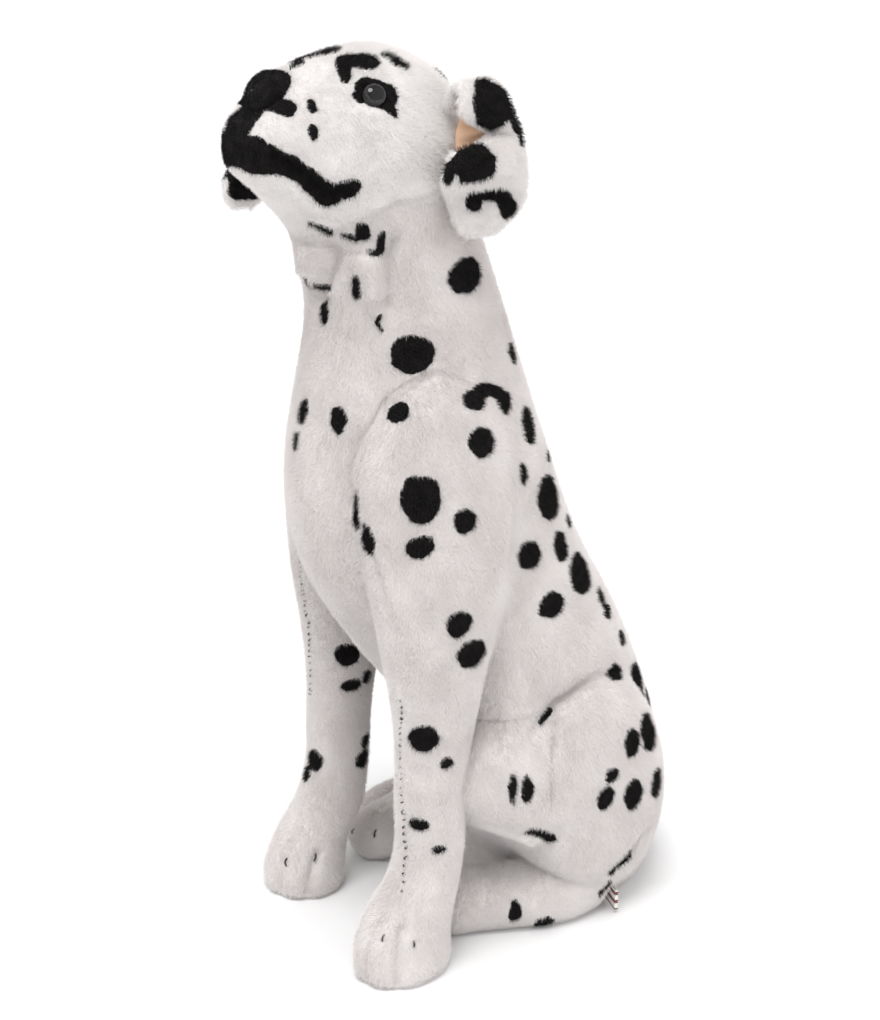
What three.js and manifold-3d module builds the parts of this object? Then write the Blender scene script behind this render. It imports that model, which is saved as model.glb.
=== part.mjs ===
// Sitting plush dog, about knee high: short-pile covers sewn over firm fibre filling, with a wire
// frame inside, safety eyes, hanging lined ears and a tail that lies round its right side.
// Millimetres, +Z up, the dog faces -Y and its left side is +X. Every piece is its own closed body.
import * as THREE from "three";
import { mergeVertices } from "three/addons/utils/BufferGeometryUtils.js";
import Module from "manifold-3d";

const wasm = await Module();
wasm.setup();

// Driving dimensions.
const SEAT_Y = 134; // from the plumb line of the forelegs back to the middle of the seat
const CLOTH = 5; // thickness of a plush cover, backing cloth and pile together
const GAP = 0.3; // clearance between pieces that touch
const HEAD_CENTRE = new THREE.Vector3(0, -45, 633);
const HEAD_PITCH = THREE.MathUtils.degToRad(28); // muzzle raised above level
const FRAME_WIRE_RADIUS = 3;
const EYE_RADIUS = 9; // safety eye, 18 mm across
const EYE_DOME = 5.5; // how far its dome stands out
const EYE_POST_RADIUS = 2.5;
const EYE_POST_LENGTH = 16;
const WASHER_RADIUS = 10;
const WASHER_THICKNESS = 1.5;
const NOSE_CLOTH = 3;
const EAR_PLUSH = 4; // thickness of the plush side of an ear
const EAR_SATIN = 1.2; // thickness of its satin side
const EAR_HINGE_X = 56; // sewn upper edge of each ear, off the middle plane
const EAR_HINGE_Z = 652;
const THREAD_WIDTH = 1.6; // toe stitches
const LABEL = { width: 24, height: 17, thickness: 0.9 };
const CAP = 6; // how far the rounded end of a piece stands beyond its last ring

// Colours.
const WHITE_PLUSH = { color: 0xe9e2de, roughness: 0.95, metalness: 0 };
const BLACK_PLUSH = { color: 0x171514, roughness: 0.95, metalness: 0 };
const PEACH_SATIN = { color: 0xe0b48c, roughness: 0.45, metalness: 0 };
const FIBRE = { color: 0xf2f0ea, roughness: 1, metalness: 0 };
const EYE_PLASTIC = { color: 0x0b0b0d, roughness: 0.08, metalness: 0 };
const WASHER_PLASTIC = { color: 0xdedede, roughness: 0.5, metalness: 0 };
const FRAME_STEEL = { color: 0x9a9c9e, roughness: 0.35, metalness: 1 };
const BLACK_THREAD = { color: 0x0d0d0d, roughness: 0.8, metalness: 0 };
const LABEL_TAPE = { color: 0xf1eeea, roughness: 0.6, metalness: 0 };

// Rings of the body, level, from the seat up into the head: y, z, half depth, half width.
const TORSO = [
  [110, -6, 72, 66],
  [112, 12, 83, 78],
  [116, 40, 87, 85],
  [112, 81, 92, 90],
  [91, 158, 93, 91],
  [43, 240, 108, 88],
  [0, 312, 113, 84],
  [-22, 402, 100, 78],
  [-26, 454, 86, 70],
  [-33, 510, 72, 63],
  [-46, 560, 66, 59],
  [-50, 606, 50, 50],
];

// Rings of the head, square to its own length: forward, top, bottom, half width.
const HEAD = [
  [-50, 18, -28, 34],
  [-38, 37, -58, 50],
  [-20, 48, -80, 59],
  [6, 51, -88, 61],
  [30, 48, -89, 58],
  [45, 43, -87, 52],
  [58, 35, -84, 45],
  [72, 23, -80, 40],
  [90, 3, -76, 36],
  [98, -12, -73, 31],
  [104, -27, -66, 23],
];

// Rings of the left foreleg, level, from the sole up into the shoulder: x, y, z, half width, half depth.
const FORELEG = [
  [77, -83, -4, 29, 34],
  [77, -84, 10, 32, 38],
  [77, -83, 28, 31, 37],
  [78, -77, 48, 29, 33],
  [79, -67, 68, 26, 28],
  [80, -61, 97, 24, 25],
  [80, -60, 139, 23.5, 24.5],
  [80, -57, 178, 24.5, 26.5],
  [80, -54, 221, 27, 33],
  [77, -50, 278, 32, 45],
  [72, -48, 328, 34, 54],
  [68, -46, 378, 34, 58],
  [66, -44, 423, 30, 50],
  [63, -46, 452, 22, 33],
];

// Side outline of the left thigh from the knee round over the top: y, z.
const THIGH_OUTLINE = [
  [-58, 154],
  [-32, 176],
  [10, 182],
  [54, 205],
  [98, 214],
  [134, 188],
  [154, 150],
  [162, 110],
  [158, 66],
  [140, 30],
  [100, 12],
  [44, 54],
  [-4, 94],
  [-44, 122],
];
// How the thigh swells away from the body: x, scale of the outline.
const THIGH_LAYERS = [
  [52, 0.95],
  [72, 1],
  [88, 0.95],
  [99, 0.82],
  [106, 0.55],
];
const RIGHT_THIGH_LENGTH = 0.66; // the right hind leg is folded further back: that much as long
const THIGH_BACK = Math.max(...THIGH_OUTLINE.map(([y]) => y)) + (1 - RIGHT_THIGH_LENGTH) * 20;
const RIGHT_LEG_SET_BACK = 10; // the right shoulder stands this far behind the left one
const PASTERN_Z = 130; // height where the foreleg is thinnest

// Hind feet along the floor, toes first: x, y, z, half width, half height.
const LEFT_FOOT = [
  [44, -42, 22, 18, 17],
  [46, -30, 23, 24, 23],
  [52, -10, 24, 25, 26],
  [63, 16, 24, 24, 26],
  [74, 46, 25, 23, 27],
  [79, 76, 27, 22, 28],
  [76, 104, 30, 18, 24],
];
const RIGHT_FOOT = [
  [-89, -20, 22, 18, 17],
  [-89, -10, 23, 24, 23],
  [-91, 12, 24, 25, 26],
  [-94, 42, 25, 24, 26],
  [-94, 76, 27, 22, 27],
  [-90, 106, 30, 18, 23],
];

// The tail lies on the floor round the right side: x, y, z, half width, half height.
const TAIL = [
  [-54, 202, 34, 15, 15],
  [-70, 210, 30, 18, 18],
  [-99, 211, 22, 19, 19],
  [-126, 189, 19, 18, 19],
  [-138, 152, 18, 17, 18],
  [-140, 104, 17, 17, 17.5],
  [-138, 58, 17, 16, 17],
  [-134, 20, 16, 15, 16],
  [-131, 6, 15, 10, 11],
];

// Each ear is a flap of cloth: rows from its sewn edge to its tip: x, z, front y, back y.
const LEFT_EAR = [
  [64, 660, -34, 10],
  [73, 658, -34, 16],
  [79, 641, -37, 18],
  [81, 618, -42, 21],
  [80, 596, -41, 22],
  [79, 579, -33, 15],
  [78, 571, -24, 4],
];
const RIGHT_EAR = [
  [-64, 660, -40, 2],
  [-75, 655, -56, -10],
  [-85, 639, -82, -32],
  [-91, 621, -104, -56],
  [-94, 602, -122, -76],
  [-94, 585, -130, -94],
  [-93, 575, -124, -106],
];
const EAR_ROOT = { front: -34, back: 8 };

// Black plush nose pad, square to the head's length: forward, up, half height, half width.
const NOSE = [
  [82, -16, 10, 12],
  [88, -17, 15.5, 18],
  [98, -19, 16.5, 19],
  [106, -21, 12, 15],
];

const SIDES = { torso: 18, head: 16, foreleg: 12, foot: 10, tail: 8, nose: 10, wire: 6, eye: 14 };

// ---- Geometry helpers ----

// Closed skin over rings of points that all have the same count, a pole closing each end.
function skin(rings, firstPole, lastPole) {
  const sides = rings[0].length;
  const points = [...rings.flat(), firstPole, lastPole];
  const first = points.length - 2;
  const last = points.length - 1;
  const index = [];
  for (let r = 0; r + 1 < rings.length; r++) {
    for (let s = 0; s < sides; s++) {
      const a = r * sides + s;
      const b = r * sides + ((s + 1) % sides);
      index.push(a, b, b + sides, a, b + sides, a + sides);
    }
  }
  const top = (rings.length - 1) * sides;
  for (let s = 0; s < sides; s++) {
    const next = (s + 1) % sides;
    index.push(first, next, s, last, top + s, top + next);
  }
  const geometry = new THREE.BufferGeometry().setFromPoints(points);
  geometry.setIndex(index);
  return geometry;
}

function ring(centre, u, v, a, b, sides) {
  const points = [];
  for (let s = 0; s < sides; s++) {
    const t = (2 * Math.PI * s) / sides;
    points.push(
      centre.clone().addScaledVector(u, a * Math.cos(t)).addScaledVector(v, b * Math.sin(t)),
    );
  }
  return points;
}

// Round limb through stations { at, u, v, a, b }, grown or shrunk by `grow` all over.
function limb(stations, sides, grow) {
  const rings = [];
  const ends = [];
  stations.forEach((s, i) => {
    const along = new THREE.Vector3().crossVectors(s.u, s.v).normalize();
    const end = i === 0 ? -1 : i === stations.length - 1 ? 1 : 0;
    const at = s.at.clone().addScaledVector(along, end * grow);
    rings.push(ring(at, s.u, s.v, s.a + grow, s.b + grow, sides));
    if (end) ends.push(at.clone().addScaledVector(along, end * CAP));
  });
  return solid(skin(rings, ends[0], ends[1]));
}

// A closed geometry as a manifold solid, its faces turned outwards.
function solid(geometry) {
  const bare = new THREE.BufferGeometry();
  bare.setAttribute("position", geometry.getAttribute("position"));
  if (geometry.index) bare.setIndex(geometry.index);
  const merged = mergeVertices(bare, 1e-4);
  const vertProperties = new Float32Array(merged.attributes.position.array);
  const triVerts = new Uint32Array(merged.index.array);
  const made = new wasm.Manifold(new wasm.Mesh({ numProp: 3, vertProperties, triVerts }));
  if (made.volume() > 0) return made;
  return new wasm.Manifold(
    new wasm.Mesh({ numProp: 3, vertProperties, triVerts: triVerts.reverse() }),
  );
}

function cut(piece, ...tools) {
  return tools.reduce((left, tool) => left.subtract(tool), piece);
}

function largest(piece) {
  if (piece.isEmpty()) throw new Error("an empty piece");
  return piece.decompose().reduce((a, b) => (a.volume() > b.volume() ? a : b));
}

const dog = new THREE.Group();
dog.position.y = -SEAT_Y;

function add(name, piece, finish) {
  const mesh = largest(piece).getMesh();
  const position = new Float32Array(mesh.numVert * 3);
  for (let i = 0; i < mesh.numVert; i++) {
    position.set(mesh.vertProperties.subarray(i * mesh.numProp, i * mesh.numProp + 3), i * 3);
  }
  const geometry = new THREE.BufferGeometry();
  geometry.setAttribute("position", new THREE.BufferAttribute(position, 3));
  geometry.setIndex(new THREE.BufferAttribute(mesh.triVerts, 1));
  geometry.computeVertexNormals();
  const node = new THREE.Mesh(geometry, new THREE.MeshStandardMaterial(finish));
  node.name = name;
  dog.add(node);
}

const X = new THREE.Vector3(1, 0, 0);
const Y = new THREE.Vector3(0, 1, 0);
const Z = new THREE.Vector3(0, 0, 1);

// Everything below the floor, to cut resting pieces flat.
const FLOOR_SIZE = 900;
const underFloor = solid(
  new THREE.BoxGeometry(FLOOR_SIZE, FLOOR_SIZE, FLOOR_SIZE).translate(0, 0, -FLOOR_SIZE / 2),
);
const sole = (height) =>
  solid(new THREE.BoxGeometry(FLOOR_SIZE, FLOOR_SIZE, FLOOR_SIZE).translate(0, 0, height - FLOOR_SIZE / 2));
const underFilling = sole(CLOTH + GAP);
// Inside of a cover that rests on the floor: a cloth's thickness above its sole.
const inside = (form) => form(-CLOTH).subtract(sole(CLOTH));

// ---- Outer forms, each as a function of how much it is grown ----

function torso(grow) {
  return limb(
    TORSO.map(([y, z, b, a]) => ({ at: new THREE.Vector3(0, y, z), u: X, v: Y, a, b })),
    SIDES.torso,
    grow,
  );
}

const FORWARD = new THREE.Vector3(0, -Math.cos(HEAD_PITCH), Math.sin(HEAD_PITCH));
const UPWARD = new THREE.Vector3(0, Math.sin(HEAD_PITCH), Math.cos(HEAD_PITCH));

function inHead(x, forward, up) {
  return HEAD_CENTRE.clone()
    .addScaledVector(X, x)
    .addScaledVector(FORWARD, forward)
    .addScaledVector(UPWARD, up);
}

const ACROSS = new THREE.Vector3().crossVectors(UPWARD, FORWARD);

function head(grow) {
  const stations = HEAD.map(([forward, top, bottom, a]) => ({
    at: inHead(0, forward, (top + bottom) / 2),
    u: ACROSS,
    v: UPWARD,
    a,
    b: (top - bottom) / 2,
  }));
  return limb(stations, SIDES.head, grow);
}

function nose(grow) {
  const stations = NOSE.map(([forward, up, b, a]) => ({
    at: inHead(0, forward, up),
    u: ACROSS,
    v: UPWARD,
    a,
    b,
  }));
  return limb(stations, SIDES.nose, grow);
}

function foreleg(side, grow) {
  return limb(
    FORELEG.map(([x, y, z, a, b]) => {
      const setBack = side < 0 ? RIGHT_LEG_SET_BACK * THREE.MathUtils.smoothstep(z, 0, PASTERN_Z) : 0;
      return { at: new THREE.Vector3(side * x, y + setBack, z), u: X, v: Y, a, b };
    }),
    SIDES.foreleg,
    grow,
  );
}

// Limb that lies along a path, its width level and its height square to its run.
function lyingLimb(table, sides, grow) {
  const points = table.map(([x, y, z]) => new THREE.Vector3(x, y, z));
  const stations = table.map(([, , , a, b], i) => {
    const ahead = points[Math.min(i + 1, points.length - 1)];
    const behind = points[Math.max(i - 1, 0)];
    const along = ahead.clone().sub(behind).setZ(0).normalize();
    return { at: points[i], u: new THREE.Vector3().crossVectors(Z, along), v: Z, a, b };
  });
  return limb(stations, sides, grow);
}

function thigh(side, grow) {
  const outline = THIGH_OUTLINE.map(([y, z]) =>
    side > 0 ? [y, z] : [THIGH_BACK - (THIGH_BACK - y) * RIGHT_THIGH_LENGTH, z],
  );
  const middle = outline.reduce((m, [y, z]) => [m[0] + y, m[1] + z], [0, 0]);
  const [cy, cz] = middle.map((sum) => sum / outline.length);
  const rings = THIGH_LAYERS.map(([x, scale], i) => {
    const out = i === 0 ? -grow : i === THIGH_LAYERS.length - 1 ? grow : 0;
    return outline.map(([y, z]) => {
      const reach = Math.hypot(y - cy, z - cz);
      const k = scale + grow / reach;
      return new THREE.Vector3(side * (x + out), cy + (y - cy) * k, cz + (z - cz) * k);
    });
  });
  const inner = new THREE.Vector3(side * (THIGH_LAYERS[0][0] - grow - CAP), cy, cz);
  const outer = new THREE.Vector3(side * (THIGH_LAYERS.at(-1)[0] + grow + CAP / 2), cy, cz);
  return solid(skin(rings, inner, outer));
}

// Solid between two offsets of an ear's sheet of rows, measured outwards from the sheet.
function earSheet(rows, near, far) {
  const COLUMNS = 4;
  const grid = rows.map(([x, z, front, back]) => {
    const row = [];
    for (let c = 0; c < COLUMNS; c++) {
      const t = c / (COLUMNS - 1);
      row.push(new THREE.Vector3(x, THREE.MathUtils.lerp(front, back, t), z));
    }
    return row;
  });
  const side = Math.sign(rows[0][0]);
  const offset = (r, c, by) => {
    const down = grid[Math.min(r + 1, grid.length - 1)][c]
      .clone()
      .sub(grid[Math.max(r - 1, 0)][c]);
    const run = grid[r][COLUMNS - 1].clone().sub(grid[r][0]);
    const normal = new THREE.Vector3().crossVectors(down, run).normalize();
    return grid[r][c].clone().addScaledVector(normal, side * by);
  };
  const rings = grid.map((row, r) => {
    const front = row.map((_, c) => offset(r, c, near));
    const back = row.map((_, c) => offset(r, c, far)).reverse();
    return [...front, ...back];
  });
  const mid = (points) =>
    points.reduce((m, p) => m.add(p), new THREE.Vector3()).divideScalar(points.length);
  return solid(skin(rings, mid(rings[0]), mid(rings.at(-1))));
}

function wire(points, grow) {
  const radius = FRAME_WIRE_RADIUS + grow;
  const shape = new THREE.Shape().absarc(0, 0, radius, 0, 2 * Math.PI);
  const path = new THREE.CatmullRomCurve3(points.map((p) => new THREE.Vector3(...p)));
  return solid(
    new THREE.ExtrudeGeometry(shape, {
      steps: 2 * points.length,
      curveSegments: SIDES.wire / 2,
      extrudePath: path,
      bevelEnabled: false,
    }),
  );
}

// A turned piece about an axis, from [radius, height] points, placed with +Y of the lathe along `along`.
function turned(profile, at, along, segments) {
  const geometry = new THREE.LatheGeometry(
    profile.map(([r, h]) => new THREE.Vector2(r, h)),
    segments,
  );
  geometry.applyQuaternion(new THREE.Quaternion().setFromUnitVectors(Y, along));
  geometry.translate(at.x, at.y, at.z);
  return solid(geometry);
}

// ---- Wire frame ----

const SPINE_PATH = [
  [0, 130, 30],
  [0, 85, 158],
  [0, 15, 298],
  [0, -24, 428],
  [0, -38, 538],
  [0, -46, 618],
  [0, -60, 646],
];

function forelegPath(side) {
  return [
    [side * 78, -82, 24],
    [side * 80, -57, 110],
    [side * 79, -50, 218],
    [side * 74, -44, 328],
    [side * 55, -36, 388],
    [side * 20, -26, 403],
  ];
}

const channels = [
  wire(SPINE_PATH, GAP),
  wire(forelegPath(1), GAP),
  wire(forelegPath(-1), GAP),
];
add("spine_wire", wire(SPINE_PATH, 0), FRAME_STEEL);
add("foreleg_wire_left", wire(forelegPath(1), 0), FRAME_STEEL);
add("foreleg_wire_right", wire(forelegPath(-1), 0), FRAME_STEEL);

// ---- Eyes ----

const EYE_AT = { x: 45, forward: 45, up: 9 };
const EYE_LOOK = { x: 0.82, forward: 0.42, up: 0.38 };

function eyeSolids(side, grow) {
  const at = inHead(side * EYE_AT.x, EYE_AT.forward, EYE_AT.up);
  const along = new THREE.Vector3(side * EYE_LOOK.x, 0, 0)
    .addScaledVector(FORWARD, EYE_LOOK.forward)
    .addScaledVector(UPWARD, EYE_LOOK.up)
    .normalize();
  const edge = -1.5 - grow;
  const profile = [[0, -EYE_POST_LENGTH - grow], [EYE_POST_RADIUS + grow, -EYE_POST_LENGTH - grow]];
  profile.push([EYE_POST_RADIUS + grow, edge], [EYE_RADIUS + grow, edge]);
  for (let i = 0; i <= 4; i++) {
    const t = (i / 4) * (Math.PI / 2);
    profile.push([(EYE_RADIUS + grow) * Math.cos(t), (EYE_DOME + grow) * Math.sin(t)]);
  }
  profile.at(-1)[0] = 0;
  const back = -EYE_POST_LENGTH + 5;
  const washer = [
    [EYE_POST_RADIUS + GAP - grow, back - WASHER_THICKNESS - grow],
    [WASHER_RADIUS + grow, back - WASHER_THICKNESS - grow],
    [WASHER_RADIUS + grow, back + grow],
    [EYE_POST_RADIUS + GAP - grow, back + grow],
    [EYE_POST_RADIUS + GAP - grow, back - WASHER_THICKNESS - grow],
  ];
  return { eye: turned(profile, at, along, SIDES.eye), washer: turned(washer, at, along, SIDES.eye) };
}

const eyeRooms = [1, -1].flatMap((side) => Object.values(eyeSolids(side, GAP)));
for (const [name, side] of [["left", 1], ["right", -1]]) {
  const { eye, washer } = eyeSolids(side, 0);
  add("eye_" + name, eye, EYE_PLASTIC);
  add("eye_washer_" + name, washer, WASHER_PLASTIC);
}

// ---- Body and head ----

add("torso_cover", cut(torso(0), underFloor, head(GAP), inside(torso), ...channels), WHITE_PLUSH);
add(
  "torso_filling",
  cut(torso(-CLOTH - GAP), underFilling, head(-CLOTH), ...channels),
  FIBRE,
);
add("head_cover", cut(head(0), head(-CLOTH), torso(-CLOTH), ...channels, ...eyeRooms), WHITE_PLUSH);
add("head_filling", cut(head(-CLOTH - GAP), ...channels, ...eyeRooms), FIBRE);
add("nose_cover", cut(nose(0), head(GAP), nose(-NOSE_CLOTH)), BLACK_PLUSH);
add("nose_filling", cut(nose(-NOSE_CLOTH - GAP), head(2 * GAP)), FIBRE);

// ---- Legs ----

// Toe stitch: a short thread pulled over the front of a paw at a given place across it.
function toeStitch(paw, at) {
  const band = paw(1.6).subtract(paw(GAP));
  const slab = new THREE.BoxGeometry(THREAD_WIDTH, 40, 22).translate(at.x, at.y, at.z);
  return band.intersect(solid(slab));
}

const TOE_SPREAD = 11; // between the two stitches of a paw, either side of its middle

for (const [name, side] of [["left", 1], ["right", -1]]) {
  const foot = (grow) => lyingLimb(side > 0 ? LEFT_FOOT : RIGHT_FOOT, SIDES.foot, grow);
  const leg = (grow) => foreleg(side, grow);
  const haunch = (grow) => thigh(side, grow);
  add(
    "foreleg_cover_" + name,
    cut(leg(0), underFloor, torso(GAP), inside(leg), ...channels),
    WHITE_PLUSH,
  );
  add(
    "foreleg_filling_" + name,
    cut(leg(-CLOTH - GAP), underFilling, torso(2 * GAP), ...channels),
    FIBRE,
  );
  add(
    "thigh_cover_" + name,
    cut(haunch(0), underFloor, torso(GAP), leg(GAP), inside(haunch)),
    WHITE_PLUSH,
  );
  add("thigh_filling_" + name, cut(haunch(-CLOTH - GAP), underFilling, torso(2 * GAP), leg(GAP)), FIBRE);
  add(
    "hind_foot_cover_" + name,
    cut(foot(0), underFloor, haunch(GAP), torso(GAP), leg(GAP), inside(foot)),
    WHITE_PLUSH,
  );
  add(
    "hind_foot_filling_" + name,
    cut(foot(-CLOTH - GAP), underFilling, haunch(2 * GAP), torso(2 * GAP), leg(GAP)),
    FIBRE,
  );
  for (const [toe, k] of [["inner", -1], ["outer", 1]]) {
    const [px, py] = FORELEG[1];
    const front = py - FORELEG[1][4];
    const fore = new THREE.Vector3(side * (px + k * TOE_SPREAD), front + 6, 28);
    add(`foreleg_toe_stitch_${toe}_${name}`, toeStitch(leg, fore), BLACK_THREAD);
    const [tx, ty] = side > 0 ? LEFT_FOOT[0] : RIGHT_FOOT[0];
    const hind = new THREE.Vector3(tx + side * k * TOE_SPREAD * 0.8, ty - 6, 26);
    add(`hind_toe_stitch_${toe}_${name}`, cut(toeStitch(foot, hind), leg(GAP)), BLACK_THREAD);
  }
}

// ---- Tail ----

const tail = (grow) => lyingLimb(TAIL, SIDES.tail, grow);
// The tail's cover is open at its root, where it is sewn to the seat.
const tailMouth = solid(
  new THREE.CylinderGeometry(9, 9, 30, SIDES.tail).rotateZ(Math.PI / 2).translate(-46, 202, 34),
);
add("tail_cover", cut(tail(0), underFloor, inside(tail), tailMouth), WHITE_PLUSH);
add("tail_filling", cut(tail(-CLOTH - GAP), underFilling, tailMouth), FIBRE);

// ---- Ears ----

for (const [name, side, rows] of [["left", 1, LEFT_EAR], ["right", -1, RIGHT_EAR]]) {
  const root = [side * EAR_HINGE_X, EAR_HINGE_Z, EAR_ROOT.front, EAR_ROOT.back];
  const sheet = [root, ...rows];
  add("ear_outer_" + name, cut(earSheet(sheet, 0, EAR_PLUSH), head(2 * GAP)), WHITE_PLUSH);
  add("ear_lining_" + name, cut(earSheet(sheet, -GAP - EAR_SATIN, -GAP), head(2 * GAP)), PEACH_SATIN);
}

// ---- Label ----

// A folded tape sewn into the seam between the left foot and the seat.
const label = new THREE.Shape();
const fold = LABEL.thickness;
label.moveTo(0, 0);
label.lineTo(LABEL.width, 0);
label.lineTo(LABEL.width, 3 * fold);
label.lineTo(0, 3 * fold);
label.lineTo(0, 2 * fold);
label.lineTo(LABEL.width - fold, 2 * fold);
label.lineTo(LABEL.width - fold, fold);
label.lineTo(0, fold);
const tape = new THREE.ExtrudeGeometry(label, { depth: LABEL.height, bevelEnabled: false });
tape.rotateZ(-Math.PI / 12);
tape.translate(80, 110, 4);
add("sewn_label", cut(solid(tape), torso(GAP), thigh(1, GAP)), LABEL_TAPE);

export default dog;
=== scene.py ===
"""A large sitting plush dog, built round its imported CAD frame.

The skins are taken from one rounded form, so that the sewn parts run into each other as the real ones do,
and are then split at the seams into one closed piece for each stuffed part. Tables are in millimetres, with
y = 0 on the plumb line of the forelegs, as in the CAD source. placed() carries them into the frame.
"""

import math

import bpy
import numpy as np
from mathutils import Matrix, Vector


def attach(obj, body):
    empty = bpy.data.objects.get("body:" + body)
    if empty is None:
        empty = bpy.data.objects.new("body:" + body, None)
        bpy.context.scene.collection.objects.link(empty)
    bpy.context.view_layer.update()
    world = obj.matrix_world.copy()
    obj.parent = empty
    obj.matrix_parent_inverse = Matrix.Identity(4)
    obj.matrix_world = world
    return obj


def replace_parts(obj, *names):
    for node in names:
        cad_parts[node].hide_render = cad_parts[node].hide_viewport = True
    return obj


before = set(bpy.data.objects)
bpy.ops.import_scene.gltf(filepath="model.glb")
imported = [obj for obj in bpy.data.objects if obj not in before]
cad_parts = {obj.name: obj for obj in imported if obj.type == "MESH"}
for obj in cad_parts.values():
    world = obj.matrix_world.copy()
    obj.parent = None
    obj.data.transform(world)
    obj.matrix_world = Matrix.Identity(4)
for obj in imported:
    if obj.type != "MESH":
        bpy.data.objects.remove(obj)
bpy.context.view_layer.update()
SEAT = 134.0  # the y of the CAD frame's origin
rng = np.random.default_rng(7)


def linked(name, data):
    """A new object in the scene."""
    made = bpy.data.objects.new(name, data)
    bpy.context.scene.collection.objects.link(made)
    return made


def placed(points):
    """Points of the tables' frame, carried into the CAD's frame in metres."""
    return (points - (0, SEAT, 0)) / 1000


# ---- camera

camera = linked("camera", bpy.data.cameras.new("camera"))
camera.data.lens = 64.9
camera.location = (1.1449, -0.8494, 0.798)
aim = Vector((0.0, -0.134, 0.338)) - camera.location
camera.rotation_euler = aim.to_track_quat("-Z", "Y").to_euler()
bpy.context.scene.camera = camera

# ---- form

STEP = 2.5
LOW = np.array((-125.0, -180.0, -10.0))
HIGH = np.array((125.0, 225.0, 712.0))

# centre y, z, half depth, half width
TORSO = [
    (110, -6, 72, 66), (112, 12, 83, 78), (116, 40, 87, 85), (112, 81, 92, 90), (88, 158, 97, 91),
    (41, 240, 112, 88), (0, 312, 113, 84), (-22, 402, 100, 78), (-26, 454, 86, 70), (-33, 510, 72, 63),
    (-46, 560, 66, 59), (-50, 606, 50, 50), (-50, 622, 30, 30),
]
# distance forward of the head's centre, top, bottom, half width
HEAD = [
    (-57, 2, -12, 12), (-50, 18, -28, 34), (-38, 37, -58, 50), (-20, 48, -80, 59), (6, 51, -88, 61),
    (30, 48, -89, 58), (45, 43, -87, 52), (58, 35, -84, 45), (72, 23, -80, 40), (90, 3, -76, 36),
    (98, -12, -73, 31), (104, -27, -66, 23), (108, -37, -57, 14), (110, -41, -50, 6),
]
# distance forward, height, half height, half width
NOSE = [
    (78, -15, 4, 5), (82, -16, 10, 12), (88, -17, 15.5, 18), (98, -19, 16.5, 19), (105, -21, 13, 15),
    (108, -21, 5, 6),
]
# centre x, y, z, half width, half depth or height, for the legs and feet
FORELEG = [
    (77, -83, -4, 29, 34), (77, -84, 10, 32, 38), (77, -83, 28, 31, 37), (78, -77, 48, 29, 33),
    (79, -67, 68, 26, 28), (80, -61, 97, 24, 25), (80, -60, 139, 23.5, 24.5), (80, -57, 178, 24.5, 26.5),
    (80, -54, 221, 27, 33), (77, -50, 278, 32, 45), (72, -48, 328, 34, 54), (68, -46, 378, 34, 58),
    (66, -44, 423, 30, 50), (63, -46, 452, 22, 33), (58, -44, 470, 8, 12),
]
PAW_TOP = 60
LEFT_FOOT = [
    (42, -50, 22, 6, 6), (44, -42, 22, 18, 17), (46, -30, 23, 24, 23), (52, -10, 24, 25, 26),
    (63, 16, 24, 24, 26), (74, 46, 25, 23, 27), (79, 76, 27, 22, 28), (76, 104, 30, 18, 24),
    (74, 116, 30, 6, 8),
]
RIGHT_FOOT = [
    (-89, -31, 18, 6, 6), (-89, -25, 18, 18, 14), (-89, -14, 19, 24, 19), (-91, 12, 21, 25, 22),
    (-94, 42, 24, 24, 25), (-94, 76, 27, 22, 27), (-90, 106, 30, 18, 23), (-88, 118, 30, 6, 8),
]
# outline of the left haunch from the side: y and z
THIGH = [
    (-58, 154), (-32, 176), (10, 182), (54, 205), (98, 214), (134, 188), (154, 150), (162, 110), (158, 66),
    (140, 30), (100, 12), (44, 52), (-4, 101), (-43, 128),
]
# the haunch's middle, across, back and up, and half its width
HAUNCH_X, HAUNCH_Y, HAUNCH_Z = 60, 70, 112
HAUNCH_HALF = 50
# the right one is drawn up shorter, measured from its back
HAUNCH_BACK, RIGHT_LENGTH = 168.8, 0.66
HEAD_AT = np.array((0.0, -45.0, 633.0))
PITCH = math.radians(28)
FORWARD = np.array((0, -math.cos(PITCH), math.sin(PITCH)))
UPWARD = np.array((0, math.sin(PITCH), math.cos(PITCH)))


def head_point(x, forward, up):
    """A point of the head, given across, along its muzzle and up from its centre."""
    return HEAD_AT + np.array((x, 0, 0)) + forward * FORWARD + up * UPWARD


def spline(rows, gap=1.0):
    """The table's first column in steps of gap, and its other columns on a smooth curve through the rows."""
    rows = np.array(rows, float)
    t = rows[:, 0]
    slope = np.gradient(rows[:, 1:], t, axis=0)
    at = np.arange(t[0], t[-1] + gap / 2, gap)
    i = np.clip(np.searchsorted(t, at, "right") - 1, 0, len(t) - 2)
    h = (t[i + 1] - t[i])[:, None]
    s = ((at - t[i]) / (t[i + 1] - t[i]))[:, None]
    start, end = rows[i, 1:], rows[i + 1, 1:]
    out = start * (1 + 2 * s) * (1 - s) ** 2 + end * s**2 * (3 - 2 * s)
    out += h * slope[i] * s * (1 - s) ** 2 - h * slope[i + 1] * s**2 * (1 - s)
    return at, out


def stacked(t, u, v, rows):
    """Distance to a form stacked from ellipses: rows of place along t, centre u, centre v, half u, half v."""
    at, out = spline(rows)
    held = np.clip(t, at[0], at[-1])
    cu, cv, a, b = (np.interp(held, at, out[:, n]) for n in range(4))
    a, b = np.maximum(a, 1.5), np.maximum(b, 1.5)
    du, dv = u - cu, v - cv
    k0 = np.sqrt((du / a) ** 2 + (dv / b) ** 2)
    k1 = np.sqrt((du / a**2) ** 2 + (dv / b**2) ** 2) + 1e-6
    d = np.where(k0 < 0.05, -np.minimum(a, b), k0 * (k0 - 1) / k1)
    past = np.abs(t - held)
    return np.where(past > 0, np.hypot(np.maximum(d, 0), past), d)


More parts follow.
